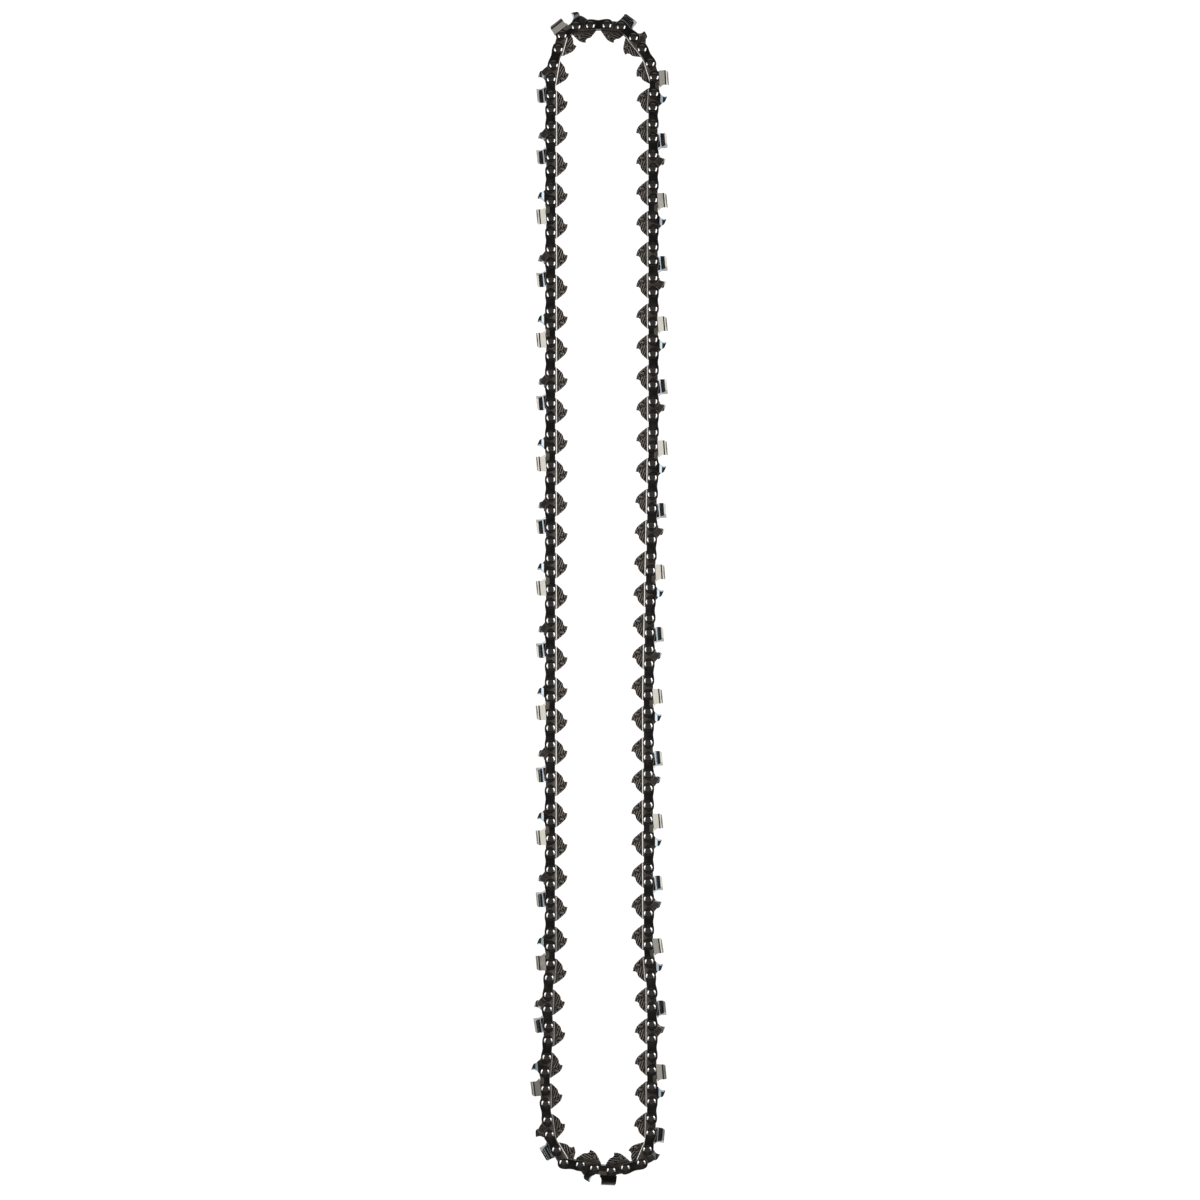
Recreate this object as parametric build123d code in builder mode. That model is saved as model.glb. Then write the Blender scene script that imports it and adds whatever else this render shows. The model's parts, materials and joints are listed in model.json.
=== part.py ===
from build123d import *
import os
from math import cos, radians, sin, tan

# Chain standard: 0.325 inch pitch, 0.058 inch gauge, 78 drive links (millimetres from here on)
chain_pitch = 8.255
drive_link_count = 78
drive_rivet_spacing = 7.65
strap_rivet_spacing = 2 * chain_pitch - drive_rivet_spacing
gauge = 1.47
plate_thickness = 1.3
side_play = 0.03
kerf = 6.9
rivet_radius = 2.3
rivet_head_stand = 0.5
pivot_clearance = 0.05
strap_end_reach = 3.25
strap_waist = 2.65
strap_foot = 2.65
drive_eye_wall = 0.35
drive_end_reach = 3.1
tang_root = 3.0
tang_depth = 8.9
bumper_height = 5.9
pivot_hole_sides = 12
tooth_height = 8.2
tooth_length = 8.35
tooth_front = 0.6
tooth_root = 3.7
tooth_relief = 5
top_plate_angle = 30
top_plate_width = 3.6
top_plate_thickness = 1.1
gauge_height = 7.2
gauge_half_length = 1.8

# Levels measured from the middle plane of the chain
middle_level = kerf / 2
plate_inner = gauge / 2 + side_play
plate_outer = plate_inner + plate_thickness
rivet_half_length = plate_outer + rivet_head_stand
drive_eye = drive_rivet_spacing / 2
strap_eye = strap_rivet_spacing / 2
drive_back_height = rivet_radius + drive_eye_wall

# How the loop lies: heading of each link, clockwise from straight up, strap then drive link
top_headings = (0, 10, 16, 16, 57, 86, 89, 96, 132, 143, 151, 163, 182, 184)
right_upper_headings = (180,) * 22
right_middle_headings = (180,) * 16
right_lower_headings = (180,) * 16
bottom_right_headings = (177, 176, 175, 180, 180, 180, 180, 180, 180, 180, 182, 182, 191, 204)
bottom_flat_headings = (252, 259, 277, 283, 277)
bottom_left_headings = (330, 335, 353, 353, 360, 358, 367, 365, 362, 356, 363, 363, 365)
left_lower_headings = (360,) * 16
left_middle_headings = (360,) * 18
left_upper_headings = (360,) * 22

# Rigid runs between the rivets that turn; each run starts with a strap
runs = (
    ("top_bend", top_headings),
    ("right_upper_run", right_upper_headings),
    ("right_middle_run", right_middle_headings),
    ("right_lower_run", right_lower_headings),
    ("bottom_bend", bottom_right_headings + bottom_flat_headings + bottom_left_headings),
    ("left_lower_run", left_lower_headings),
    ("left_middle_run", left_middle_headings),
    ("left_upper_run", left_upper_headings),
)
run_straps = {}
straps_before = 0
for run_name, run_headings in runs:
    strap_count = len(run_headings) // 2
    run_straps[run_name] = range(straps_before, straps_before + strap_count)
    straps_before += strap_count
turning_straps = tuple(straps[0] for straps in run_straps.values())


def link_headings(right_lean, bottom_tilt):
    headings = list(top_headings + right_upper_headings)
    headings += [heading + right_lean for heading in right_middle_headings]
    headings += right_lower_headings + bottom_right_headings
    headings += [heading + bottom_tilt for heading in bottom_flat_headings]
    headings += bottom_left_headings + left_lower_headings + left_middle_headings + left_upper_headings
    return headings


def rivet_points(right_lean, bottom_tilt):
    points = [Vector(0, 0, 0)]
    for index, heading in enumerate(link_headings(right_lean, bottom_tilt)):
        spacing = strap_rivet_spacing if index % 2 == 0 else drive_rivet_spacing
        step = Vector(spacing * sin(radians(heading)), spacing * cos(radians(heading)), 0)
        points.append(points[-1] + step)
    return points


def closed_loop():
    # The lean of the right middle run and the tilt of the bottom flat bring the last rivet onto the first
    lean = 0.0
    tilt = 0.0
    nudge = 0.001
    for attempt in range(8):
        gap = rivet_points(lean, tilt)[-1]
        by_lean = (rivet_points(lean + nudge, tilt)[-1] - gap) / nudge
        by_tilt = (rivet_points(lean, tilt + nudge)[-1] - gap) / nudge
        scale = by_lean.X * by_tilt.Y - by_tilt.X * by_lean.Y
        lean -= (gap.X * by_tilt.Y - gap.Y * by_tilt.X) / scale
        tilt -= (by_lean.X * gap.Y - by_lean.Y * gap.X) / scale
    return rivet_points(lean, tilt)[:-1]


def link_place(rear, front):
    # Local x runs along the travel, local y points out of the loop to the cutting side
    return Plane(origin=(rear + front) / 2, x_dir=front - rear, z_dir=(0, 0, 1)).location


# Hooked tang from the front root round to the rear root, shared by both kinds of drive link
tang_outline = (
    (-drive_eye - 0.92 * drive_end_reach, -tang_root),
    (-1.12 * drive_eye, -0.71 * tang_depth),
    (-0.63 * drive_eye, -0.92 * tang_depth),
    (0.13 * drive_eye, -tang_depth),
    (0.34 * drive_eye, -0.78 * tang_depth),
    (0.93 * drive_eye, -0.7 * tang_depth),
    (drive_eye + 0.92 * drive_end_reach, -tang_root),
)
drive_back = (
    (drive_eye + drive_end_reach, drive_back_height),
    (-drive_eye - drive_end_reach, drive_back_height),
)
# The link ahead of a cutter carries a ramp that climbs to the depth gauge
bumper_back = (
    (drive_eye + drive_end_reach, drive_back_height),
    (0.75 * drive_eye, drive_back_height + 0.2),
    (-0.37 * drive_eye, bumper_height),
    (-0.8 * drive_eye, drive_back_height),
    (-drive_eye - drive_end_reach, drive_back_height),
)


def make_drive_link(back_outline, turning):
    with BuildPart() as link:
        with BuildSketch(Plane.XY.offset(-gauge / 2)):
            with BuildLine():
                Polyline(*back_outline, *tang_outline, close=True)
            make_face()
            if turning:
                with Locations((drive_eye, 0)):
                    RegularPolygon(
                        rivet_radius + pivot_clearance,
                        pivot_hole_sides,
                        major_radius=False,
                        mode=Mode.SUBTRACT,
                    )
        extrude(amount=gauge)
    return link.part


end_corner = strap_end_reach * tan(radians(22.5))
strap_tip = strap_eye + strap_end_reach
# Straps are waisted on the cutting side and straight where they slide on the bar
strap_outline = (
    (0, strap_waist),
    (-strap_eye - end_corner, strap_end_reach),
    (-strap_tip, end_corner),
    (-strap_tip, -end_corner),
    (-strap_eye - end_corner, -strap_foot),
    (strap_eye + end_corner, -strap_foot),
    (strap_tip, -end_corner),
    (strap_tip, end_corner),
    (strap_eye + end_corner, strap_end_reach),
)


def make_tie_strap():
    with BuildPart() as strap:
        with BuildSketch(Plane.XY.offset(plate_inner)):
            with BuildLine():
                Polyline(*strap_outline, close=True)
            make_face()
        extrude(amount=plate_thickness)
    return strap.part


tooth_drop = tooth_length * tan(radians(tooth_relief))
cutter_outline = (
    (-0.05 * strap_eye, tooth_root),
    (tooth_front - tooth_length + 0.6, tooth_root - tooth_drop + 0.3),
    (-strap_tip, end_corner),
    (-strap_tip, -end_corner),
    (-strap_eye - end_corner, -strap_foot),
    (strap_eye + end_corner, -strap_foot),
    (strap_tip, -end_corner),
    (strap_tip, 0.9 * end_corner),
    (strap_tip + gauge_half_length, 0.66 * gauge_height),
    (strap_tip - gauge_half_length, gauge_height),
    (strap_eye + 0.7, 0.57 * gauge_height),
    (strap_eye - 0.3, strap_waist + 0.2),
    (0.4 * strap_eye, strap_waist + 0.2),
)

# Section of the tooth seen from behind: across from the foot, up the side plate, in along the top plate
inner_edge = middle_level - top_plate_width
tooth_section = (
    (plate_inner, tooth_root - 0.6),
    (plate_outer, tooth_root - 0.2),
    (middle_level, tooth_height - 2.2),
    (middle_level, tooth_height - 1.4),
    (middle_level - 0.75, tooth_height),
    (inner_edge, tooth_height - 0.2),
    (inner_edge, tooth_height - 0.2 - top_plate_thickness),
    (middle_level - 1.4, tooth_height - 0.1 - top_plate_thickness),
)
section_plane = Plane(origin=(tooth_front, 0, 0), x_dir=(0, 0, 1), z_dir=(-1, 0, 0))
grind_plane = Plane(
    origin=(tooth_front, 0, middle_level),
    z_dir=(1, 0, -tan(radians(top_plate_angle))),
)


def make_right_hand_cutter():
    with BuildPart() as tooth:
        with BuildSketch(section_plane):
            with BuildLine():
                Polyline(*tooth_section, close=True)
            make_face()
        extrude(
            amount=tooth_length / cos(radians(tooth_relief)),
            dir=(-cos(radians(tooth_relief)), -sin(radians(tooth_relief)), 0),
        )
        split(bisect_by=grind_plane, keep=Keep.BOTTOM)
    with BuildPart() as cutter:
        with BuildSketch(Plane.XY.offset(plate_inner)):
            with BuildLine():
                Polyline(*cutter_outline, close=True)
            make_face()
        extrude(amount=plate_thickness)
        add(tooth.part)
    return cutter.part


def make_rivet(turning):
    with BuildPart() as rivet:
        with BuildSketch(Plane.XY.offset(-rivet_half_length)):
            if turning:
                Circle(rivet_radius)
            else:
                RegularPolygon(rivet_radius, 6, major_radius=False)
        extrude(amount=2 * rivet_half_length)
    return rivet.part


plain_drive_link = make_drive_link(drive_back, False)
bored_drive_link = make_drive_link(drive_back, True)
plain_bumper_link = make_drive_link(bumper_back, False)
bored_bumper_link = make_drive_link(bumper_back, True)
near_strap = make_tie_strap()
far_strap = mirror(near_strap, about=Plane.XY)
right_hand_cutter = make_right_hand_cutter()
left_hand_cutter = mirror(right_hand_cutter, about=Plane.XY)
fixed_rivet = make_rivet(False)
turning_rivet = make_rivet(True)

rivets = closed_loop()
strap_places = [link_place(rivets[2 * s], rivets[2 * s + 1]) for s in range(drive_link_count)]
drive_places = [
    link_place(rivets[2 * s + 1], rivets[(2 * s + 2) % len(rivets)]) for s in range(drive_link_count)
]

# Every second strap is a cutter; hands take turns, and the odd count leaves two left ones together
left_cutter_straps = range(0, drive_link_count, 4)
right_cutter_straps = range(2, drive_link_count, 4)

# The loop is centred on its own box and lies on the left-hand teeth
reach = Compound(
    [right_hand_cutter.moved(strap_places[s]) for s in right_cutter_straps]
    + [left_hand_cutter.moved(strap_places[s]) for s in left_cutter_straps]
).bounding_box()
resting = Location((-reach.center().X, -reach.center().Y, middle_level))


def make_group(label, *pieces):
    with BuildPart() as group:
        for piece, places in pieces:
            if places:
                with Locations(*[resting * place for place in places]):
                    add(piece)
    group.part.label = label
    return group


os.makedirs("parts", exist_ok=True)
for run_name, straps in run_straps.items():
    left_straps = [strap_places[s] for s in straps if s in left_cutter_straps]
    right_straps = [strap_places[s] for s in straps if s in right_cutter_straps]
    near_places = [strap_places[s] for s in straps if s not in right_cutter_straps]
    far_places = [strap_places[s] for s in straps if s not in left_cutter_straps]
    bored = [s for s in straps if (s + 1) % drive_link_count in turning_straps]
    plain_links = [drive_places[s] for s in straps if s % 2 == 1 and s not in bored]
    plain_bored = [drive_places[s] for s in bored if s % 2 == 1]
    bumper_links = [drive_places[s] for s in straps if s % 2 == 0 and s not in bored]
    bumper_bored = [drive_places[s] for s in bored if s % 2 == 0]
    turning_places = [Location(rivets[2 * straps[0]])]
    fixed_places = [Location(rivets[2 * s]) for s in straps[1:]]
    fixed_places += [Location(rivets[2 * s + 1]) for s in straps]

    drive_links = make_group(
        "drive_links_" + run_name, (plain_drive_link, plain_links), (bored_drive_link, plain_bored)
    )
    bumper_drive_links = make_group(
        "bumper_drive_links_" + run_name, (plain_bumper_link, bumper_links), (bored_bumper_link, bumper_bored)
    )
    tie_straps = make_group("tie_straps_" + run_name, (near_strap, near_places), (far_strap, far_places))
    left_cutters = make_group("left_hand_cutters_" + run_name, (left_hand_cutter, left_straps))
    right_cutters = make_group("right_hand_cutters_" + run_name, (right_hand_cutter, right_straps))
    run_rivets = make_group(
        "rivets_" + run_name, (fixed_rivet, fixed_places), (turning_rivet, turning_places)
    )
    for group in (drive_links, bumper_drive_links, tie_straps, left_cutters, right_cutters, run_rivets):
        export_step(group.part, "parts/" + group.part.label + ".step")
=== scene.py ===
import bpy
import bmesh
import json
import math
from mathutils import Matrix, Vector

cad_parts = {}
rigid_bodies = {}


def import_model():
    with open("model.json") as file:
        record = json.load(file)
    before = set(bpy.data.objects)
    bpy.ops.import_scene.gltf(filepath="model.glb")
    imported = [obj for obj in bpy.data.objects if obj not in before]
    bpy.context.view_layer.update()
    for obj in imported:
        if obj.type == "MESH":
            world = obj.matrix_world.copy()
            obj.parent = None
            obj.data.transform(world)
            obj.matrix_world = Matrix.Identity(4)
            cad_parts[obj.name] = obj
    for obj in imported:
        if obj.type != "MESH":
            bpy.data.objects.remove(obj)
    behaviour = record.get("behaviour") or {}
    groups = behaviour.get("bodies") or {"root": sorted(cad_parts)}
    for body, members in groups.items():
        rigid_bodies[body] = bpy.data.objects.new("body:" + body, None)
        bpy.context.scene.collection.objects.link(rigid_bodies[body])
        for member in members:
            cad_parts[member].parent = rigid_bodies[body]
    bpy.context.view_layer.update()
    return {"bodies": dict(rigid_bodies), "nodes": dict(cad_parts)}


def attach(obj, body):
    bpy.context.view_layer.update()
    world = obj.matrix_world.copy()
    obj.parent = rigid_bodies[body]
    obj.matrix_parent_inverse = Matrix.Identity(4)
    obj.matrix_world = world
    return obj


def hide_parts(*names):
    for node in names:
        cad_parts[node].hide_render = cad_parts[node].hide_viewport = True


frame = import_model()
mm = 0.001
touch = 0.01  # millimetres; a point this near a line counts as on it

loopSettings = {
    "firstRun": "top_bend",  # its first strap is number 0, and straps count with the travel
    "handCycle": 4,  # the cutters repeat after this many straps
    "leftHandPlace": 0,  # in the cycle
    "rightHandPlace": 2,
    "shades": 7,  # links differ a little in tone
    "shadeStep": 5,
    "farShade": 3,  # sets the far straps' tones off from the near ones'
    "weld": 1e-6,  # metres
}


def meshFrom(bm, name):
    mesh = bpy.data.meshes.new(name)
    bm.to_mesh(mesh)
    bm.free()
    return mesh


def placeObject(name, data):
    made = bpy.data.objects.new(name, data)
    bpy.context.scene.collection.objects.link(made)
    return made


def solidCentres(node):  # middle of each separate solid in a packed group
    bm = bmesh.new()
    bm.from_mesh(node.data)
    bmesh.ops.remove_doubles(bm, verts=bm.verts, dist=loopSettings["weld"])
    seen = set()
    centres = []
    for first in bm.verts:
        if first in seen:
            continue
        seen.add(first)
        waiting = [first]
        reach = []
        while waiting:
            vert = waiting.pop()
            reach.append(vert.co.copy())
            for edge in vert.link_edges:
                other = edge.other_vert(vert)
                if other not in seen:
                    seen.add(other)
                    waiting.append(other)
        centres.append((Vector(map(min, *reach)) + Vector(map(max, *reach))) / 2)
    bm.free()
    return centres


def orderedRivets():  # (centre, run) of every rivet, clockwise from the first run's first strap
    loose = []
    for run in frame["bodies"]:
        loose += [(centre, run) for centre in solidCentres(frame["nodes"]["rivets_" + run])]
    chain = [loose.pop(0)]
    while loose:
        nearest = min(loose, key=lambda rivet: (rivet[0] - chain[-1][0]).length)
        loose.remove(nearest)
        chain.append(nearest)
    turn = sum(a[0].x * b[0].y - b[0].x * a[0].y for a, b in zip(chain, chain[1:] + chain[:1]))
    if turn > 0:
        chain.reverse()
    isFirst = [rivet[1] == loopSettings["firstRun"] for rivet in chain]
    start = next(i for i in range(len(chain)) if isFirst[i] and not isFirst[i - 1])
    return chain[start:] + chain[:start]


def linkMatrix(rear, front):  # local x runs with the travel, local y out of the loop, in millimetres
    along = (front - rear).normalized()
    matrix = Matrix((along, (-along.y, along.x, 0), (0, 0, 1))).transposed().to_4x4()
    matrix.translation = (rear + front) / 2
    return matrix @ Matrix.Scale(mm, 4)


rivets = orderedRivets()
rivetPlaces = []
for i, (centre, run) in enumerate(rivets):
    rivetPlaces.append((i, run, Matrix.Translation(centre) @ Matrix.Scale(mm, 4)))
strapPlaces = []
drivePlaces = []
for s in range(len(rivets) // 2):
    rear, run = rivets[2 * s]
    front = rivets[2 * s + 1][0]
    following = rivets[(2 * s + 2) % len(rivets)][0]
    strapPlaces.append((s, run, linkMatrix(rear, front)))
    drivePlaces.append((s, run, linkMatrix(front, following)))
strapEye = (rivets[1][0] - rivets[0][0]).length / 2 / mm
driveEye = (rivets[2][0] - rivets[1][0]).length / 2 / mm
print("rivets found:", len(rivets), "strap eye", round(strapEye, 3), "drive eye", round(driveEye, 3))

chainLevels = {
    "driveHalf": 0.735,  # half the thickness of a drive link
    "plateInner": 0.765,
    "plateOuter": 2.065,
    "toothSide": 3.45,  # outermost face of a cutter's side plate
}
rimSettings = {
    "sharpness": 50,  # degrees between the faces at a rim
    "steepest": 0.4,  # rise of an edge, against its length, that still counts as a rim
}
planeSpan = 20  # millimetres of a link's own plane that fill its UV map


def roundCorners(bm, verts, corners):  # a corner ends with its rounding, along the edges, and the steps
    for vert, corner in zip(verts, corners):
        rounding, steps = corner[2:]
        if rounding:
            bmesh.ops.bevel(bm, geom=[vert], offset=rounding, offset_type="OFFSET", affect="VERTICES",
                            segments=steps, profile=0.5, material=-1)


def cutAcross(bm, heights):  # adds lines across a shape
    for height in heights:
        bmesh.ops.bisect_plane(bm, geom=bm.verts[:] + bm.edges[:] + bm.faces[:], plane_co=(0, height, 0),
                               plane_no=(0, 1, 0))


def extrudeFaces(bm):  # gives the vertices of the new end
    swept = bmesh.ops.extrude_face_region(bm, geom=bm.faces[:])["geom"]
    return [v for v in swept if isinstance(v, bmesh.types.BMVert)]


def flatPlate(corners, low, high, cuts=()):  # corners: x, y, rounding, steps
    bm = bmesh.new()
    verts = [bm.verts.new((corner[0], corner[1], low)) for corner in corners]
    bm.faces.new(verts)
    roundCorners(bm, verts, corners)
    cutAcross(bm, cuts)
    bmesh.ops.translate(bm, verts=extrudeFaces(bm), vec=(0, 0, high - low))
    bmesh.ops.recalc_face_normals(bm, faces=bm.faces)
    return bm


def softenRims(bm, width):  # takes off the long edges between a plate's faces and its walls
    rims = []
    for edge in bm.edges:
        rise = abs(edge.verts[0].co.z - edge.verts[1].co.z)
        level = rise < rimSettings["steepest"] * edge.calc_length()
        if level and edge.is_manifold and edge.calc_face_angle() > math.radians(rimSettings["sharpness"]):
            rims.append(edge)
    bmesh.ops.bevel(bm, geom=rims, offset=width, offset_type="OFFSET", affect="EDGES", segments=1,
                    profile=0.5, material=-1, clamp_overlap=True)


def keepTemplate(bm, name):  # stores the local millimetres as a UV map, for patterns that follow a link
    plane = bm.loops.layers.uv.new("linkPlane")
    for face in bm.faces:
        face.smooth = True
        for loop in face.loops:
            loop[plane].uv = (loop.vert.co.x / planeSpan + 0.5, loop.vert.co.y / planeSpan + 0.5)
    return meshFrom(bm, name)


tieStrap = {
    "tip": 3.25,  # reach beyond the rivet
    "crown": 3.23,  # height over the rivets, on the cutting side
    "waist": 2.5,
    "foot": 2.52,  # the side that slides on the bar
    "footWaist": 2.3,
    "shoulder": 1.5,  # the waist starts this far inside the rivet
    "rim": 0.2,
}


def slidingSide():  # foot of a strap or a cutter, from its rear end to its front
    reach = strapEye + tieStrap["tip"]
    shoulder = strapEye - tieStrap["shoulder"]
    return [
        (-reach, -tieStrap["foot"], 2.1, 3),
        (-shoulder, -tieStrap["foot"], 0, 1),
        (-0.5 * shoulder, -tieStrap["footWaist"], 0, 1),
        (0.5 * shoulder, -tieStrap["footWaist"], 0, 1),
        (shoulder, -tieStrap["foot"], 0, 1),
        (reach, -tieStrap["foot"], 2.1, 3),
    ]


def makeTieStrap():
    reach = strapEye + tieStrap["tip"]
    shoulder = strapEye - tieStrap["shoulder"]
    corners = slidingSide() + [
        (reach, tieStrap["crown"], 2.7, 4),
        (shoulder, tieStrap["crown"], 0.8, 2),
        (0, tieStrap["waist"], 1.6, 2),
        (-shoulder, tieStrap["crown"], 0.8, 2),
        (-reach, tieStrap["crown"], 2.7, 4),
    ]
    bm = flatPlate(corners, chainLevels["plateInner"], chainLevels["plateOuter"])
    softenRims(bm, tieStrap["rim"])
    return bm


driveLink = {
    "end": 3.1,  # reach beyond the rivet
    "back": 2.65,
    "root": 3.0,
    "ledge": (-2.62, -3.13),  # top and bottom of the sloping step where the tang gets thinner
    "ledgeTilt": (0.5, 0.99),  # upright part of a sloping face's normal
    "thinning": 0.29,  # on each face
    "depth": 8.9,
    "bumper": 5.95,
    "rim": 0.12,
}
driveSurfaces = {"steel": 0, "ledge": 1}


def makeDriveLink(hasBumper):
    reach = driveEye + driveLink["end"]
    depth = driveLink["depth"]
    corners = [(reach - 0.2, driveLink["back"], 0.9, 2)]
    if hasBumper:
        corners += [
            (2.9, driveLink["back"] + 0.45, 0.9, 2),
            (0.9, driveLink["bumper"] - 1.0, 0.8, 2),
            (-1.2, driveLink["bumper"] + 0.1, 0.5, 2),
            (-2.2, driveLink["bumper"] - 0.9, 0.4, 1),
            (-3.1, driveLink["back"] + 0.1, 0.4, 1),
        ]
    corners += [
        (0.2 - reach, driveLink["back"], 0.9, 2),
        (-reach + 0.1, -driveLink["root"], 0.3, 1),  # the tang, from its rear root round the hook
        (-4.2, -0.71 * depth, 1.1, 2),
        (-2.1, -0.925 * depth, 0.8, 2),
        (0.75, -depth - 0.1, 0.12, 1),
        (0.9, -0.84 * depth, 0.3, 1),
        (1.5, -0.77 * depth, 0.4, 2),
        (3.7, -0.7 * depth, 0.5, 2),
        (reach - 0.2, -driveLink["root"], 0.3, 1),
    ]
    half = chainLevels["driveHalf"]
    bm = flatPlate(corners, -half, half, driveLink["ledge"])
    top, bottom = driveLink["ledge"]
    for vert in bm.verts:  # the tang is coined thinner below the ledge
        if vert.co.y < bottom + touch:
            vert.co.z -= math.copysign(driveLink["thinning"], vert.co.z)
    softenRims(bm, driveLink["rim"])
    steep, flat = driveLink["ledgeTilt"]
    for face in bm.faces:  # the ledge's sloping faces get a brighter, smoother steel: a painted highlight along the tang's root
        onLedge = bottom - 2 * touch < face.calc_center_median().y < top + 2 * touch
        surface = "ledge" if onLedge and steep < abs(face.normal.z) < flat else "steel"
        face.material_index = driveSurfaces[surface]
    return bm


cutterLink = {
    "rim": 0.14,
    "toothFront": 0.6,
    "toothLength": 8.4,
    "toothSpare": 0.6,  # the blank starts this far ahead of the cutting corner, for the file to take off
    "toothRelief": 5,  # degrees that the tooth drops towards its heel
    "heelCut": (7.2, 0.8),  # height where the heel starts to lean forward, and its lean
    "cornerHeight": 8.05,  # cutting corner
    "insideHeight": 6.9,  # underside of the top plate
    "insideFacing": -0.15,  # faces inside the hook look down at least this much
    "grindAngle": 30,
    "fileRadius": 3.2,
    "fileHeight": 6.35,  # middle of the round file above the rivets
    "fileLength": 24,
    "fileSides": 40,
    "fileMark": 0.05,  # faces this near the file's surface are filed ones
    "weld": 0.002,
    "gaugeHeight": 7.35,
    "gaugeRear": 0.5,  # the depth gauge starts this far behind the front rivet
    "gaugeBend": (3.7, 4.95),  # heights between which it is set outwards
    "gaugeSet": 0.68,
    "gaugeTip": (6.2, 0.57),  # height where it gets thinner on the inside, and the slope there
    "pad": ((-2.2, 0.75), (2.5, 2.6)),  # corners of the raised slope between the rivets
    "padFoot": 1.6,  # half its length on the low side, clear of the rivet heads
    "padRise": 0.36,
    "padThickness": 0.2,
    "padSink": 0.05,  # its middle lies this far under the plate's face
    "padRim": 0.08,
    "sharpness": 15,  # degrees
}
cutterSurfaces = {"plate": 0, "chrome": 1, "filed": 2, "inside": 3, "pad": 4}


def makeCutterBase():
    reach = strapEye + tieStrap["tip"]
    corners = slidingSide() + [
        (reach + 0.05, 1.5, 0.8, 2),  # depth gauge
        (reach + 2.0, 4.5, 0.5, 2),
        (reach + 1.55, 6.0, 0.6, 2),
        (6.0, cutterLink["gaugeHeight"], 0.55, 2),
        (5.05, 4.5, 0, 1),  # gullet
        (3.6, 2.75, 0, 1),
        (0.2, 2.75, 0, 1),
        (-0.3, 4.2, 0, 1),  # foot of the tooth
        (-6.9, 3.3, 0.3, 1),
        (-reach, 1.6, 1.2, 2),
    ]
    return flatPlate(corners, chainLevels["plateInner"], chainLevels["plateOuter"])


def makeTooth():  # a hooked section, swept back along the relief
    side = chainLevels["toothSide"]
    section = [  # height, level, rounding, steps; up the outside and back down the inside
        (3.1, chainLevels["plateOuter"] + 0.02, 0, 1),
        (5.98, side - 0.04, 0, 1),
        (6.72, side - 0.01, 0, 1),
        (7.95, side - 0.7, 0.35, 2),
        (8.25, side - 1.5, 0.4, 2),
        (8.1, 0.3, 0.12, 1),
        (6.95, -0.32, 0.12, 1),
        (7.0, 1.7, 1.0, 4),
        (5.2, 1.95, 0.8, 3),
        (3.35, 0.85, 0.2, 1),
        (3.05, 0.75, 0, 1),
    ]
    start = cutterLink["toothFront"] + cutterLink["toothSpare"]
    length = cutterLink["toothLength"] + cutterLink["toothSpare"]
    drop = length * math.tan(math.radians(cutterLink["toothRelief"]))
    heelHeight, heelLean = cutterLink["heelCut"]
    bm = bmesh.new()
    verts = [bm.verts.new((start, corner[0], corner[1])) for corner in section]
    bm.faces.new(verts)
    roundCorners(bm, verts, section)
    heel = extrudeFaces(bm)
    for vert in heel:  # its outer corner is taken off
        vert.co.x += heelLean * max(0, vert.co.y - heelHeight)
    bmesh.ops.translate(bm, verts=heel, vec=(-length, -drop, 0))
    bmesh.ops.recalc_face_normals(bm, faces=bm.faces)
    return bm


def fileAxis():  # a point on the round file's middle line and its direction
    angle = math.radians(cutterLink["grindAngle"])
    along = Vector((math.sin(angle), 0, math.cos(angle)))
    ahead = Vector((math.cos(angle), 0, -math.sin(angle)))
    above = cutterLink["cornerHeight"] - cutterLink["fileHeight"]
    lead = math.sqrt(cutterLink["fileRadius"] ** 2 - above ** 2)
    corner = Vector((cutterLink["toothFront"], cutterLink["fileHeight"], chainLevels["toothSide"]))
    return corner + ahead * lead, along


def makeFile():
    point, along = fileAxis()
    bm = bmesh.new()
    turned = Matrix.Translation(point) @ along.to_track_quat("Z", "Y").to_matrix().to_4x4()
    radius = cutterLink["fileRadius"]
    bmesh.ops.create_cone(bm, cap_ends=True, segments=cutterLink["fileSides"], radius1=radius,
                          radius2=radius, depth=cutterLink["fileLength"], matrix=turned)
    return bm


def filedShape(blank, tool):  # the blank with the round file's gullet taken out
    cut = blank.modifiers.new("gullet", "BOOLEAN")
    cut.object = tool
    cut.operation = "DIFFERENCE"
    cut.solver = "EXACT"
    bpy.context.view_layer.update()
    shaped = bpy.data.meshes.new_from_object(blank.evaluated_get(bpy.context.evaluated_depsgraph_get()))
    bm = bmesh.new()
    bm.from_mesh(shaped)
    bmesh.ops.remove_doubles(bm, verts=bm.verts, dist=cutterLink["weld"])
    return bm


def onGauge(place):
    return place.x > strapEye - cutterLink["gaugeRear"] and place.y > cutterLink["gaugeBend"][0] - touch


def setGauge(bm):  # bends the depth gauge outwards and thins its tip
    low, high = cutterLink["gaugeBend"]
    tip, slope = cutterLink["gaugeTip"]
    inner = (chainLevels["plateInner"] + chainLevels["plateOuter"]) / 2
    cutAcross(bm, (low, high, tip))
    for vert in bm.verts:
        if onGauge(vert.co):
            thinned = slope * max(0, vert.co.y - tip) if vert.co.z < inner else 0
            vert.co.z += cutterLink["gaugeSet"] * min(1, (vert.co.y - low) / (high - low)) + thinned
    softenRims(bm, cutterLink["rim"])
    for face in bm.faces:
        middle = face.calc_center_median()
        surface = "plate"
        if onGauge(middle):
            # below its tip the gauge takes the blue tint, a painted highlight
            surface = "chrome" if middle.y > tip else "inside"
        face.material_index = cutterSurfaces[surface]


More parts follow.
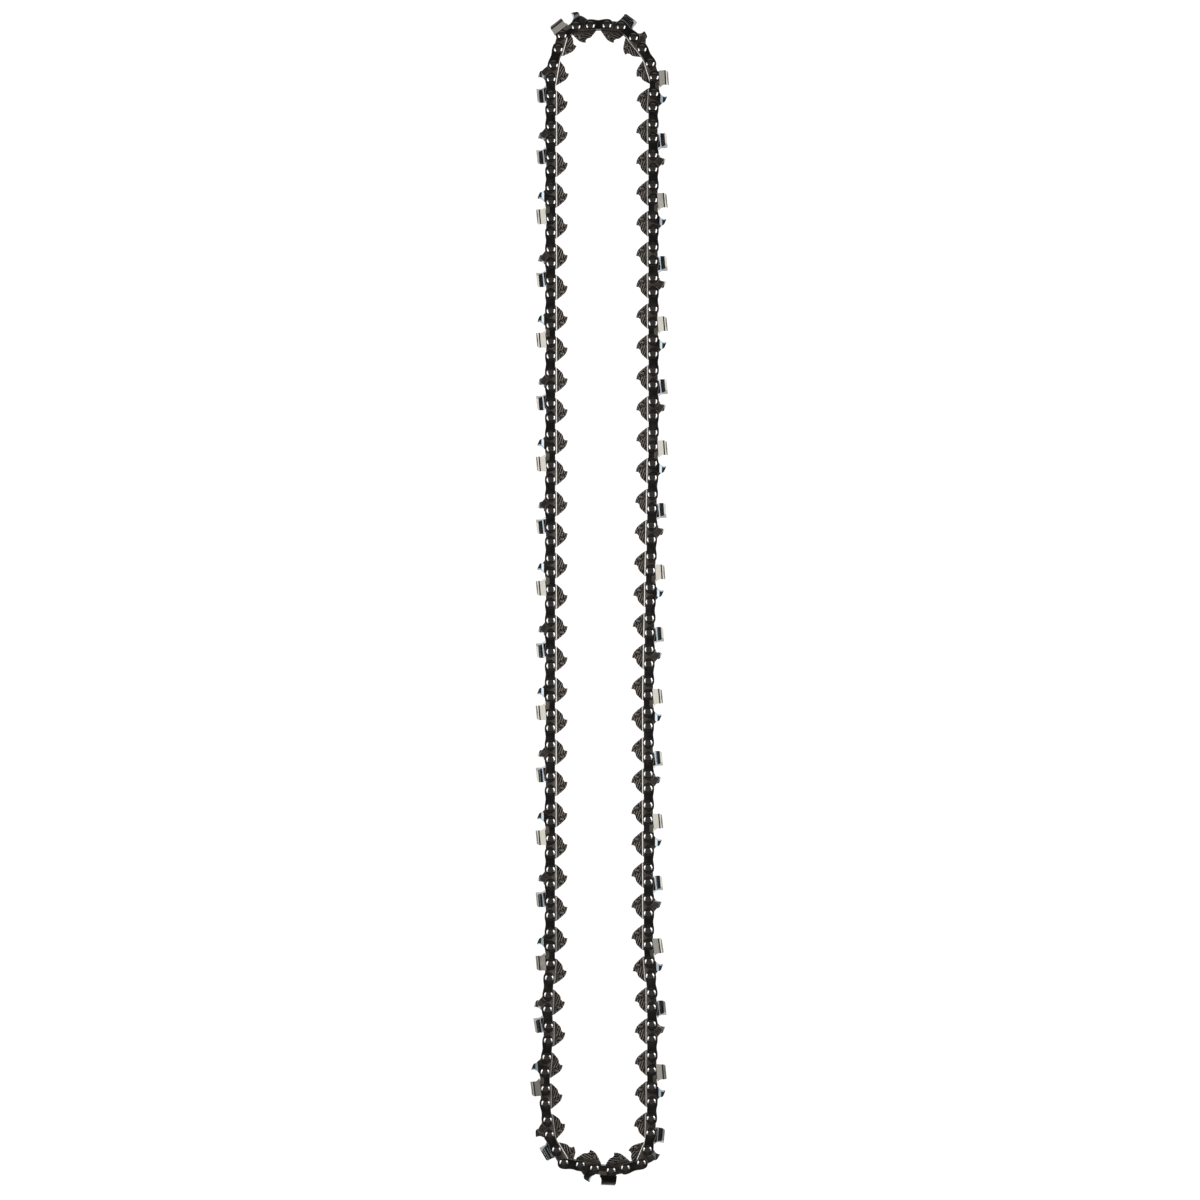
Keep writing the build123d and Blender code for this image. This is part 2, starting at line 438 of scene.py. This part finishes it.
def markTooth(bm):  # tells filed, inside and chromed faces apart; the inside faces get a blue tint that is a painted reflection
    point, along = fileAxis()
    fall = math.tan(math.radians(cutterLink["toothRelief"]))
    for face in bm.faces:
        offsets = [(v.co - point).cross(along).length - cutterLink["fileRadius"] for v in face.verts]
        middle = face.calc_center_median()
        frontHeight = middle.y + (cutterLink["toothFront"] - middle.x) * fall
        surface = "chrome"
        if max(abs(offset) for offset in offsets) < cutterLink["fileMark"]:
            surface = "filed"
        elif face.normal.z < cutterLink["insideFacing"] and frontHeight < cutterLink["insideHeight"]:
            surface = "inside"
        face.material_index = cutterSurfaces[surface]


def makePad():  # a shallow wedge on the plate's outer face, in a lighter, warmer steel that is a painted sheen
    (left, low), (right, high) = cutterLink["pad"]
    level = chainLevels["plateOuter"]
    middle = ((left + right) / 2, (low + high) / 2, level - cutterLink["padSink"])
    bm = bmesh.new()
    bmesh.ops.create_cube(bm, size=1)
    bmesh.ops.scale(bm, verts=bm.verts, vec=(right - left, high - low, cutterLink["padThickness"]))
    bmesh.ops.translate(bm, verts=bm.verts, vec=middle)
    for vert in bm.verts:
        if vert.co.y < middle[1]:
            vert.co.x = math.copysign(cutterLink["padFoot"], vert.co.x)
        elif vert.co.z > level:
            vert.co.z += cutterLink["padRise"]
    softenRims(bm, cutterLink["padRim"])
    for face in bm.faces:
        face.material_index = cutterSurfaces["pad"]
    return bm


def makeCutter():
    tool = placeObject("file", meshFrom(makeFile(), "file"))
    base = placeObject("base", meshFrom(makeCutterBase(), "base"))
    tooth = placeObject("tooth", meshFrom(makeTooth(), "tooth"))
    plate = filedShape(base, tool)
    setGauge(plate)
    hook = filedShape(tooth, tool)
    markTooth(hook)
    joined = bmesh.new()
    for part in (plate, hook, makePad()):
        mesh = meshFrom(part, "cutterPart")
        joined.from_mesh(mesh)
        bpy.data.meshes.remove(mesh)
    for made in (tool, base, tooth):
        bpy.data.objects.remove(made)
    return joined


rivetHead = {
    "stand": 0.5,  # height of the crown over the strap
    "rings": ((0, 0), (1.65, 0.14), (2.28, 0.485), (2.5, 0.5)),  # radius, drop
    "around": 12,
    "weld": 0.001,
    "sharpness": 20,  # degrees
}


def makeRivet():
    crown = chainLevels["plateOuter"] + rivetHead["stand"]
    bm = bmesh.new()
    profile = [bm.verts.new((radius, 0, crown - drop)) for radius, drop in rivetHead["rings"]]
    profile += [bm.verts.new((vert.co.x, 0, -vert.co.z)) for vert in reversed(profile)]
    edges = [bm.edges.new(pair) for pair in zip(profile, profile[1:])]
    bmesh.ops.spin(bm, geom=profile + edges, cent=(0, 0, 0), axis=(0, 0, 1), angle=2 * math.pi,
                   steps=rivetHead["around"], use_merge=True)
    bmesh.ops.remove_doubles(bm, verts=bm.verts, dist=rivetHead["weld"])
    bmesh.ops.recalc_face_normals(bm, faces=bm.faces)
    return bm


def mirroredTemplate(mesh, name):  # the same link for the far face of the chain
    bm = bmesh.new()
    bm.from_mesh(mesh)
    bmesh.ops.scale(bm, verts=bm.verts, vec=(1, 1, -1))
    bmesh.ops.reverse_faces(bm, faces=bm.faces)
    return meshFrom(bm, name)


nearStrap = keepTemplate(makeTieStrap(), "nearStrap")
farStrap = mirroredTemplate(nearStrap, "farStrap")
plainDrive = keepTemplate(makeDriveLink(False), "plainDrive")
bumperDrive = keepTemplate(makeDriveLink(True), "bumperDrive")
rightCutter = keepTemplate(makeCutter(), "rightCutter")
leftCutter = mirroredTemplate(rightCutter, "leftCutter")
rivet = keepTemplate(makeRivet(), "rivet")
for template in (nearStrap, plainDrive, bumperDrive, rightCutter, rivet):
    print("template", template.name, "faces", len(template.polygons))


# Shader node groups shared by the finishes

def newGroup(name, inputs, outputs):
    tree = bpy.data.node_groups.new(name, "ShaderNodeTree")
    for label, kind, value in inputs:
        socket = tree.interface.new_socket(label, in_out="INPUT", socket_type=kind)
        if value is not None:
            socket.default_value = value
    for label in outputs:
        tree.interface.new_socket(label, in_out="OUTPUT", socket_type="NodeSocketFloat")
    return tree, tree.nodes.new("NodeGroupInput"), tree.nodes.new("NodeGroupOutput")


def addNode(tree, kind, values=None, **settings):
    node = tree.nodes.new(kind)
    for key, value in settings.items():
        setattr(node, key, value)
    for key, value in (values or {}).items():
        node.inputs[key].default_value = value
    return node


def feed(tree, socket, value):  # by a link from another node, or as a fixed value
    if isinstance(value, bpy.types.NodeSocket):
        tree.links.new(value, socket)
    else:
        socket.default_value = value


def spread(tree, socket, limits):  # takes a range of a value to 0..1
    node = addNode(tree, "ShaderNodeMapRange", {"From Min": limits[0], "From Max": limits[1]})
    tree.links.new(socket, node.inputs["Value"])
    return node.outputs["Result"]


def combine(tree, operation, first, second):
    node = addNode(tree, "ShaderNodeMath", operation=operation)
    feed(tree, node.inputs[0], first)
    feed(tree, node.inputs[1], second)
    return node.outputs[0]


handlingMarks = {
    "blotchScale": 260.0,
    "blotchRange": (0.32, 0.68),
    "pitScale": 2600.0,
    "pitRange": (0.25, 0.75),
}


def makeHandling():  # oil film, blotches and fine pits of worked steel
    tree, enter, leave = newGroup(
        "handledSteel",
        [("Vector", "NodeSocketVector", None),
         ("Blotch Scale", "NodeSocketFloat", handlingMarks["blotchScale"]),
         ("Pit Scale", "NodeSocketFloat", handlingMarks["pitScale"])],
        ("Blotch", "Pits"))
    blotch = addNode(tree, "ShaderNodeTexNoise", {"Detail": 3.0, "Roughness": 0.6})
    pits = addNode(tree, "ShaderNodeTexNoise", {"Detail": 2.0, "Roughness": 0.65})
    for node, scale in ((blotch, "Blotch Scale"), (pits, "Pit Scale")):
        tree.links.new(enter.outputs["Vector"], node.inputs["Vector"])
        tree.links.new(enter.outputs[scale], node.inputs["Scale"])
    blotches = spread(tree, blotch.outputs["Fac"], handlingMarks["blotchRange"])
    tree.links.new(blotches, leave.inputs["Blotch"])
    tree.links.new(spread(tree, pits.outputs["Fac"], handlingMarks["pitRange"]), leave.inputs["Pits"])
    return tree


hatchMarks = {  # sizes in millimetres of the link's own plane
    "wave": {"Scale": 0.25, "Distortion": 1.8, "Detail": 2.0, "Detail Scale": 0.8},
    "lineRange": (0.47, 0.85),
    "patch": {"Scale": 0.95, "Detail": 2.5, "Roughness": 0.6},
    "patchRange": (0.45, 0.64),
    "frontRange": (-1.4, 0.6),  # along the link, speckles give way to lines
    "tangRange": (-3.5, -4.2),  # the hatching starts below the ledge
}


def makeHatching():  # diagonal drag lines that the stamping leaves on a tang
    tree, enter, leave = newGroup(
        "stampedHatch",
        [("Vector", "NodeSocketVector", None), ("Turn", "NodeSocketVector", None)],
        ("Lines", "Patches", "Front", "Tang"))
    span = (planeSpan, planeSpan, 0.0)
    plane = addNode(tree, "ShaderNodeVectorMath", {1: span}, operation="MULTIPLY")
    tree.links.new(enter.outputs["Vector"], plane.inputs[0])
    centred = addNode(tree, "ShaderNodeVectorMath", {1: Vector(span) / 2}, operation="SUBTRACT")
    tree.links.new(plane.outputs[0], centred.inputs[0])
    turned = addNode(tree, "ShaderNodeVectorRotate", rotation_type="EULER_XYZ")
    tree.links.new(centred.outputs[0], turned.inputs["Vector"])
    tree.links.new(enter.outputs["Turn"], turned.inputs["Rotation"])
    wave = addNode(tree, "ShaderNodeTexWave", hatchMarks["wave"], wave_type="BANDS", bands_direction="Y")
    tree.links.new(turned.outputs[0], wave.inputs["Vector"])
    patches = addNode(tree, "ShaderNodeTexNoise", hatchMarks["patch"])
    tree.links.new(turned.outputs[0], patches.inputs["Vector"])
    parts = addNode(tree, "ShaderNodeSeparateXYZ")
    tree.links.new(centred.outputs[0], parts.inputs[0])
    tree.links.new(spread(tree, wave.outputs["Fac"], hatchMarks["lineRange"]), leave.inputs["Lines"])
    tree.links.new(spread(tree, patches.outputs["Fac"], hatchMarks["patchRange"]), leave.inputs["Patches"])
    tree.links.new(spread(tree, parts.outputs["X"], hatchMarks["frontRange"]), leave.inputs["Front"])
    tree.links.new(spread(tree, parts.outputs["Y"], hatchMarks["tangRange"]), leave.inputs["Tang"])
    return tree


handling = makeHandling()
hatching = makeHatching()


def newFinish(name):
    material = bpy.data.materials.new(name)
    material.use_nodes = True
    tree = material.node_tree
    shader = tree.nodes["Principled BSDF"]
    shader.inputs["Metallic"].default_value = 1.0
    coords = addNode(tree, "ShaderNodeTexCoord")
    marks = addNode(tree, "ShaderNodeGroup")
    marks.node_tree = handling
    tree.links.new(coords.outputs["Object"], marks.inputs["Vector"])
    return material, tree, shader, marks


def mixColours(tree, factor, first, second):
    node = addNode(tree, "ShaderNodeMix", data_type="RGBA")
    tree.links.new(factor, node.inputs[0])
    for socket, colour in ((node.inputs[6], first), (node.inputs[7], second)):  # its two colour sockets
        feed(tree, socket, (*colour, 1) if isinstance(colour, tuple) else colour)
    return node.outputs[2]


def blotchedRoughness(tree, marks, limits):
    low, high = limits
    return combine(tree, "ADD", combine(tree, "MULTIPLY", marks.outputs["Blotch"], high - low), low)


def setBump(tree, shader, height, strength, distance):
    bump = addNode(tree, "ShaderNodeBump", {"Strength": strength, "Distance": distance})
    tree.links.new(height, bump.inputs["Height"])
    tree.links.new(bump.outputs["Normal"], shader.inputs["Normal"])


strapFinish = {
    "dark": (0.15, 0.145, 0.14),
    "brown": (0.28, 0.25, 0.225),
    "roughness": (0.2, 0.36),
    "pits": 0.12,
}
# brighter, smoother copy of the drive link steel: a painted highlight on the ledge's sloping faces, on top
# of the soft boxes' reflection in the step
ledgePaintedHighlightFinish = {
    "dark": (0.54, 0.51, 0.48),
    "brown": (0.70, 0.67, 0.64),
    "roughness": (0.18, 0.26),
    "pits": 0.05,
}
filedFinish = {
    "dark": (0.34, 0.34, 0.36),
    "brown": (0.55, 0.55, 0.56),
    "roughness": (0.32, 0.45),
    "pits": 0.35,
}
# lighter, warmer copy of the plate steel: a painted sheen on the pad, on top of what its tilt catches from
# the soft boxes
padPaintedSheenFinish = {
    "dark": (0.44, 0.405, 0.345),
    "brown": (0.62, 0.57, 0.50),
    "roughness": (0.36, 0.48),
    "pits": 0.2,
}
rivetFinish = {
    "dark": (0.62, 0.605, 0.59),
    "brown": (0.72, 0.705, 0.69),
    "roughness": (0.05, 0.1),
    "pits": 0.04,
}
steelWork = {
    "toneShare": 0.35,  # how far a link's own tone darkens it
    "pitDepth": 0.00005,  # metres
}


def makeSteel(name, settings):  # oiled steel, each link in a tone of its own
    material, tree, shader, marks = newFinish(name)
    linkTone = addNode(tree, "ShaderNodeAttribute", attribute_name="linkTone").outputs["Fac"]
    tone = mixColours(tree, marks.outputs["Blotch"], settings["dark"], settings["brown"])
    darkening = combine(tree, "MULTIPLY", linkTone, steelWork["toneShare"])
    tree.links.new(mixColours(tree, darkening, tone, settings["dark"]), shader.inputs["Base Color"])
    tree.links.new(blotchedRoughness(tree, marks, settings["roughness"]), shader.inputs["Roughness"])
    setBump(tree, shader, marks.outputs["Pits"], settings["pits"], steelWork["pitDepth"])
    return material


driveFinish = {
    "dark": (0.34, 0.30, 0.265),
    "brown": (0.52, 0.455, 0.40),
    "groove": (0.056, 0.05, 0.046),
    "line": (0.87, 0.78, 0.70),
    "roughness": (0.36, 0.48),
    "lineRoughness": 0.06,  # added on the lines
    "pits": 0.05,  # height against the lines'
    "relief": 1.0,
    "depth": 0.00014,  # metres
    "turn": (0.0, 0.0, 0.32),
}


def makeDriveSteel():
    material, tree, shader, marks = newFinish("driveLinkSteel")
    hatch = addNode(tree, "ShaderNodeGroup")
    hatch.node_tree = hatching
    hatch.inputs["Turn"].default_value = driveFinish["turn"]
    plane = addNode(tree, "ShaderNodeUVMap", uv_map="linkPlane")
    tree.links.new(plane.outputs["UV"], hatch.inputs["Vector"])
    tone = mixColours(tree, marks.outputs["Blotch"], driveFinish["dark"], driveFinish["brown"])
    front = combine(tree, "MULTIPLY", hatch.outputs["Lines"], hatch.outputs["Front"])
    rear = combine(tree, "SUBTRACT", 1.0, hatch.outputs["Front"])
    speckle = combine(tree, "MULTIPLY", hatch.outputs["Patches"], rear)
    lines = combine(tree, "MULTIPLY", combine(tree, "ADD", front, speckle), hatch.outputs["Tang"])
    coined = mixColours(tree, hatch.outputs["Tang"], tone, driveFinish["groove"])
    tree.links.new(mixColours(tree, lines, coined, driveFinish["line"]), shader.inputs["Base Color"])
    lineRough = combine(tree, "MULTIPLY", lines, driveFinish["lineRoughness"])
    rough = combine(tree, "ADD", blotchedRoughness(tree, marks, driveFinish["roughness"]), lineRough)
    tree.links.new(rough, shader.inputs["Roughness"])
    pits = combine(tree, "MULTIPLY", marks.outputs["Pits"], driveFinish["pits"])
    height = combine(tree, "ADD", pits, lines)
    setBump(tree, shader, height, driveFinish["relief"], driveFinish["depth"])
    return material


chromeFinish = {
    "bright": (0.41, 0.395, 0.355),
    "dim": (0.33, 0.315, 0.285),
    "roughness": (0.08, 0.16),
    "pits": 0.05,
    "pitDepth": 0.00004,  # metres
}
# blue-tinted chrome: a painted reflection of the surroundings inside the hook, and a painted highlight on
# the low part of the depth gauge
paintedReflectionFinish = {
    "bright": (0.48, 0.54, 0.575),
    "dim": (0.36, 0.44, 0.49),
    "roughness": (0.16, 0.26),
    "pits": 0.05,
    "pitDepth": 0.00004,
}


def makeChrome(name, settings):
    material, tree, shader, marks = newFinish(name)
    colour = mixColours(tree, marks.outputs["Blotch"], settings["dim"], settings["bright"])
    tree.links.new(colour, shader.inputs["Base Color"])
    tree.links.new(blotchedRoughness(tree, marks, settings["roughness"]), shader.inputs["Roughness"])
    setBump(tree, shader, marks.outputs["Pits"], settings["pits"], settings["pitDepth"])
    return material


strapFinishes = [makeSteel("strapSteel", strapFinish)]
driveFinishes = [  # in the order of driveSurfaces
    makeDriveSteel(),
    # the ledge steel is a painted highlight
    makeSteel("ledgePaintedHighlight", ledgePaintedHighlightFinish),
]
cutterFinishes = [  # in the order of cutterSurfaces
    makeSteel("cutterPlateSteel", strapFinish),
    makeChrome("toothChrome", chromeFinish),
    makeSteel("filedEdge", filedFinish),
    # blue tint: painted reflection inside the hook, painted highlight on the gauge
    makeChrome("toothInsidePaintedReflection", paintedReflectionFinish),
    # the pad steel is a painted sheen
    makeSteel("padPaintedSheen", padPaintedSheenFinish),
]
rivetFinishes = [makeSteel("rivetSteel", rivetFinish)]
print("finishes made")


# One piece for each packed group

def layPiece(name, body, node, finishes, laid, sharpness=35):  # laid: (number, template, matrix)
    bm = bmesh.new()
    tone = bm.verts.layers.float.new("linkTone")
    for number, template, matrix in laid:
        before = len(bm.verts)
        bm.from_mesh(template)
        bm.verts.ensure_lookup_table()
        fresh = bm.verts[before:]
        bmesh.ops.transform(bm, matrix=matrix, verts=fresh)
        shade = number * loopSettings["shadeStep"] % loopSettings["shades"]
        for vert in fresh:
            vert[tone] = shade / loopSettings["shades"]
    mesh = meshFrom(bm, name)
    mesh.set_sharp_from_angle(angle=math.radians(sharpness))
    for finish in finishes:
        mesh.materials.append(finish)
    piece = placeObject(name, mesh)
    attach(piece, body)
    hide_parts(node)


def hand(strap):  # side of the cutter at this place, or None for two plain straps
    hands = {loopSettings["leftHandPlace"]: "left", loopSettings["rightHandPlace"]: "right"}
    return hands.get(strap % loopSettings["handCycle"])


for run in frame["bodies"]:
    straps = [(s, place) for s, body, place in strapPlaces if body == run]
    drives = [(s, place) for s, body, place in drivePlaces if body == run]
    ties = [(s, nearStrap, place) for s, place in straps if hand(s) != "right"]
    ties += [(s + loopSettings["farShade"], farStrap, place) for s, place in straps if hand(s) != "left"]
    plain = [(s, plainDrive, place) for s, place in drives if s % 2]
    bumpers = [(s, bumperDrive, place) for s, place in drives if not s % 2]  # ahead of a cutter
    lefts = [(s, leftCutter, place) for s, place in straps if hand(s) == "left"]
    rights = [(s, rightCutter, place) for s, place in straps if hand(s) == "right"]
    heads = [(i, rivet, place) for i, body, place in rivetPlaces if body == run]
    layPiece("tieStraps_" + run, run, "tie_straps_" + run, strapFinishes, ties)
    layPiece("driveLinks_" + run, run, "drive_links_" + run, driveFinishes, plain)
    layPiece("bumperLinks_" + run, run, "bumper_drive_links_" + run, driveFinishes,
             bumpers)
    layPiece("leftCutters_" + run, run, "left_hand_cutters_" + run, cutterFinishes,
             lefts, cutterLink["sharpness"])
    layPiece("rightCutters_" + run, run, "right_hand_cutters_" + run, cutterFinishes,
             rights, cutterLink["sharpness"])
    layPiece("rivetHeads_" + run, run, "rivets_" + run, rivetFinishes, heads,
             rivetHead["sharpness"])

studio = {
    "floorSize": 30.0,
    "floorColour": (0.86, 0.86, 0.86),
    "floorRoughness": 0.9,
    "floorShine": 0.1,
    "floorGlow": 0.9,  # a light table, so nothing throws a hard shadow
    "boxHeight": 0.44,
    "boxPlace": (0.85, 0.56),  # beside the loop and above the floor
    "boxes": (  # side, start and end along the loop, glow; the light fades towards the ends
        (1, -0.2, 0.62, 2.0),
        (1, -0.62, -0.2, 0.5),
        (-1, -0.26, 0.31, 2.0),
        (-1, -0.62, -0.26, 0.9),
        (-1, 0.31, 0.62, 0.9),
    ),
    "topBox": ((0.43, -0.09, 0.75), (-0.02, 0.3, 0.0), 0.22, 0.7),  # place, aim at the top bend, size, glow
    "sky": (  # height of a direction and its colour
        (0.08, (0.55, 0.56, 0.57)),
        (0.42, (0.014, 0.0135, 0.013)),
        (0.93, (0.014, 0.0135, 0.013)),
        (0.985, (0.055, 0.0535, 0.052)),
    ),
}


def addSoftBox(place, aim, length, height, glow):
    light = bpy.data.lights.new("softBox", "AREA")
    light.shape = "RECTANGLE"
    light.size = length
    light.size_y = height
    light.energy = glow * math.pi * length * height
    box = placeObject("softBox", light)
    box.location = place
    box.rotation_euler = (Vector(aim) - Vector(place)).to_track_quat("-Z", "Y").to_euler()
    box.visible_camera = False


def makeFloor():
    bm = bmesh.new()
    bmesh.ops.create_grid(bm, x_segments=1, y_segments=1, size=studio["floorSize"] / 2)
    mesh = meshFrom(bm, "floor")
    pale = bpy.data.materials.new("paleFloor")
    pale.use_nodes = True
    shader = pale.node_tree.nodes["Principled BSDF"]
    shader.inputs["Base Color"].default_value = (*studio["floorColour"], 1)
    shader.inputs["Roughness"].default_value = studio["floorRoughness"]
    shader.inputs["Specular IOR Level"].default_value = studio["floorShine"]
    shader.inputs["Emission Color"].default_value = (1, 1, 1, 1)
    shader.inputs["Emission Strength"].default_value = studio["floorGlow"]
    mesh.materials.append(pale)
    floor = placeObject("floor", mesh)


def makeSky():
    world = bpy.data.worlds.new("studio")
    world.use_nodes = True
    tree = world.node_tree
    coords = addNode(tree, "ShaderNodeTexCoord")
    parts = addNode(tree, "ShaderNodeSeparateXYZ")
    tree.links.new(coords.outputs["Generated"], parts.inputs[0])
    ramp = addNode(tree, "ShaderNodeValToRGB")
    stops = ramp.color_ramp.elements
    while len(stops) < len(studio["sky"]):
        stops.new(1.0)
    for stop, (height, colour) in zip(stops, studio["sky"]):
        stop.position = height
        stop.color = (*colour, 1)
    tree.links.new(parts.outputs["Z"], ramp.inputs["Fac"])
    tree.links.new(ramp.outputs["Color"], tree.nodes["Background"].inputs["Color"])
    bpy.context.scene.world = world


def makeStudio():
    makeFloor()
    beside, above = studio["boxPlace"]
    for side, start, end, glow in studio["boxes"]:
        middle = (start + end) / 2
        addSoftBox((side * beside, middle, above), (0, middle, 0), end - start, studio["boxHeight"], glow)
    place, aim, size, glow = studio["topBox"]
    addSoftBox(place, aim, size, size, glow)
    makeSky()


makeStudio()

cameraView = {
    "aim": (0.0, -0.0027, 0.00345),
    "distance": 1.5,
    "tilt": 1.93,  # degrees; the lower end is a little nearer
    "frameWidth": 0.6378,  # metres across the image at the chain
    "sensor": 36.0,
    "clipEnd": 60.0,
}


def makeCamera():
    tilt = math.radians(cameraView["tilt"])
    camera = bpy.data.cameras.new("photoView")
    camera.sensor_width = cameraView["sensor"]
    camera.lens = cameraView["sensor"] * cameraView["distance"] / cameraView["frameWidth"]
    camera.clip_end = cameraView["clipEnd"]
    view = placeObject("photoView", camera)
    back = Vector((0, -math.sin(tilt), math.cos(tilt)))
    view.location = Vector(cameraView["aim"]) + back * cameraView["distance"]
    view.rotation_euler = (tilt, 0, 0)
    bpy.context.scene.camera = view


makeCamera()
bpy.context.scene.view_settings.view_transform = "Standard"
print("studio and camera set")
